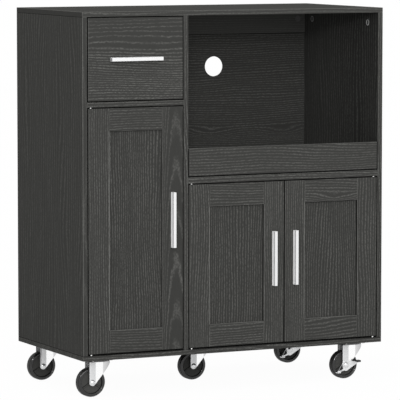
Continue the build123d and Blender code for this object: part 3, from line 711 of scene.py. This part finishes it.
def plasticFinish(name):
    finish, shader, bench = newFinish(name, blackPlastic["fixed"])
    place = objectPlace(bench)
    spark = place.noise(1400.0, 2.0)
    cloud = place.noise(90.0, 2.0).ramp(0.3, 0.8)
    shade = cloud.blend(opaque(blackPlastic["shade"]), opaque(blackPlastic["patchy"]))
    bump = bench.node("Bump", {}, {"Strength": 0.2, "Distance": blackPlastic["relief"], "Height": spark})
    feed(shader, color=shade, rough=spark.between(*blackPlastic["rough"]), normal=bump)
    return finish


plastic = plasticFinish("black_plastic")
for node, slot in slotOf.items():
    if slot == "wheel_rubber":
        dress(node, wheelFinish("rubber_" + node, middleOf(node)))
    elif slot == "black_plastic":
        dress(node, plastic)
print("rubber and plastic done")


# Bright rolled rims on the cam discs, coloured as a painted highlight round each disc.
camRim = {
    "profile": ((5.9, -0.4), (5.9, 0.10), (6.1, 0.26), (6.5, 0.32), (6.9, 0.26), (7.1, 0.05),
                (7.1, -0.2)),  # radius and height, mm
    "segments": 40,
    "rows": (-0.1385, 0.1535),
    "inset": 0.026,  # from the end of a board
}


def camSites():
    inset = camRim["inset"]
    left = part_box("left_side_panel")
    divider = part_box("divider_panel")
    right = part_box("right_side_panel")
    walls = ((left[1].x, 1), (divider[0].x, -1), (right[0].x, -1))
    sites = []
    for y in camRim["rows"]:
        for z in (left[0].z + inset, left[1].z - inset):
            sites += [((x, y, z), (side, 0, 0)) for x, side in walls]
        for shelf in ("drawer_shelf", "microwave_shelf"):
            lo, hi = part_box(shelf)
            sites += [((x, y, lo.z), (0, 0, -1)) for x in (lo.x + inset, hi.x - inset)]
    return sites


def latheAt(site, facing, profile, segments):
    turn = Vector((0, 0, 1)).rotation_difference(Vector(facing))
    points = []
    for step in range(segments):
        angle = 2 * math.pi * step / segments
        for radius, height in profile:
            point = Vector((radius * math.cos(angle), radius * math.sin(angle), height)) / 1000
            points.append(Vector(site) + turn @ point)
    return points


def ringFaces(start, count, segments):
    faces = []
    for step in range(segments):
        here = start + step * count
        there = start + (step + 1) % segments * count
        for index in range(count - 1):
            faces.append((here + index, there + index, there + index + 1, here + index + 1))
    return faces


def addPiece(name, points, faces, finish, body):
    mesh = bpy.data.meshes.new(name)
    mesh.from_pydata(points, [], faces)
    mesh.validate()
    mesh.materials.append(finish)
    mesh.shade_smooth()
    piece = bpy.data.objects.new(name, mesh)
    bpy.context.scene.collection.objects.link(piece)
    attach(piece, body)


def addCamRims():
    points = []
    faces = []
    profile = camRim["profile"]
    for site, facing in camSites():
        faces += ringFaces(len(points), len(profile), camRim["segments"])
        points += latheAt(site, facing, profile, camRim["segments"])
    addPiece("cam_rims", points, faces, metalFinishes["bright_rims"], "cabinet")


addCamRims()
print("cam rims done")


# Floor, light and camera.
white = (1.0, 1.0, 1.0, 1.0)
studio = {
    "floorSize": 60.0,
    "floorShade": (0.50, 0.50, 0.50),  # what it gives back to the cabinet
    "floorGlow": 0.97,  # share of plain white where it is seen
    "sky": 0.30,  # level light from all round
    "fromAbove": 0.90,
    "fromFront": 0.05,
    "fromRight": -0.30,
    "lampPlace": (-0.7, -4.1, 1.85),
    "lampAim": (0.1, 0.0, 0.6),
    "lampSize": 2.2,
    "lampPower": 55.0,
    "sparkPlace": (-2.05, -4.0, 1.65),  # small lamp for the highlights
    "sparkSize": 0.3,
    "sparkPower": 22.0,
}


def seenRays(bench):
    path = bench.node("LightPath").socket.node
    seen = Wire(bench.tree, path.outputs["Is Camera Ray"])
    for ray in ("Is Glossy Ray", "Is Transmission Ray"):
        seen = seen.most(Wire(bench.tree, path.outputs[ray]))
    return seen


def pourFloor():
    half = studio["floorSize"] / 2
    corners = [(-half, -half, 0), (half, -half, 0), (half, half, 0), (-half, half, 0)]
    sheet = bpy.data.meshes.new("floor")
    sheet.from_pydata(corners, [], [(0, 1, 2, 3)])
    floor = bpy.data.objects.new("floor", sheet)
    bpy.context.scene.collection.objects.link(floor)
    finish, shader, bench = newFinish("floor", {"Roughness": 0.9, "Specular IOR Level": 0.0})
    seen = seenRays(bench)
    feed(shader, color=seen.blend(opaque(studio["floorShade"]), white))
    glow = bench.node("Emission", {}, {"Color": white, "Strength": 1.0})
    lit = Wire(bench.tree, shader.outputs[0])
    both = bench.node("MixShader", {}, {0: seen * studio["floorGlow"], 1: lit, 2: glow})
    bench.tree.links.new(both.socket, bench.tree.nodes["Material Output"].inputs["Surface"])
    sheet.materials.append(finish)


def lightWorld():
    world = bpy.data.worlds.new("studio")
    bpy.context.scene.world = world
    world.use_nodes = True
    tree = world.node_tree
    bench = Wire(tree)
    x, y, z = bench.node("TexCoord", out="Generated").parts()
    level = z * studio["fromAbove"] - y * studio["fromFront"] + x * studio["fromRight"] + studio["sky"]
    seen = seenRays(bench)
    strength = seen + (1 - seen) * level.most(0.0)
    tree.links.new(strength.socket, tree.nodes["Background"].inputs["Strength"])
    tree.nodes["Background"].inputs["Color"].default_value = white


def hangLamp(name):
    lamp = bpy.data.lights.new(name, "AREA")
    lamp.size = studio[name + "Size"]
    lamp.energy = studio[name + "Power"]
    hung = bpy.data.objects.new(name, lamp)
    hung.location = studio[name + "Place"]
    aim = Vector(studio["lampAim"]) - hung.location
    hung.rotation_euler = aim.to_track_quat("-Z", "Y").to_euler()
    hung.visible_camera = False
    bpy.context.scene.collection.objects.link(hung)


shot = {  # fitted to the photograph's corners
    "place": (-3.3195, -6.8729, 1.1456),
    "yaw": 25.766,
    "pitch": 5.264,
    "lens": 281.15,
    "sensor": 36.0,
    "farthest": 100.0,
}


def standCamera():
    camera = bpy.data.cameras.new("camera")
    camera.lens = shot["lens"]
    camera.sensor_width = shot["sensor"]
    camera.clip_end = shot["farthest"]
    stand = bpy.data.objects.new("camera", camera)
    stand.location = shot["place"]
    stand.rotation_euler = (math.radians(90 - shot["pitch"]), 0.0, math.radians(-shot["yaw"]))
    bpy.context.scene.collection.objects.link(stand)
    bpy.context.scene.camera = stand


pourFloor()
lightWorld()
hangLamp("lamp")
hangLamp("spark")
standCamera()
bpy.context.scene.view_settings.view_transform = "Standard"
print("studio done")
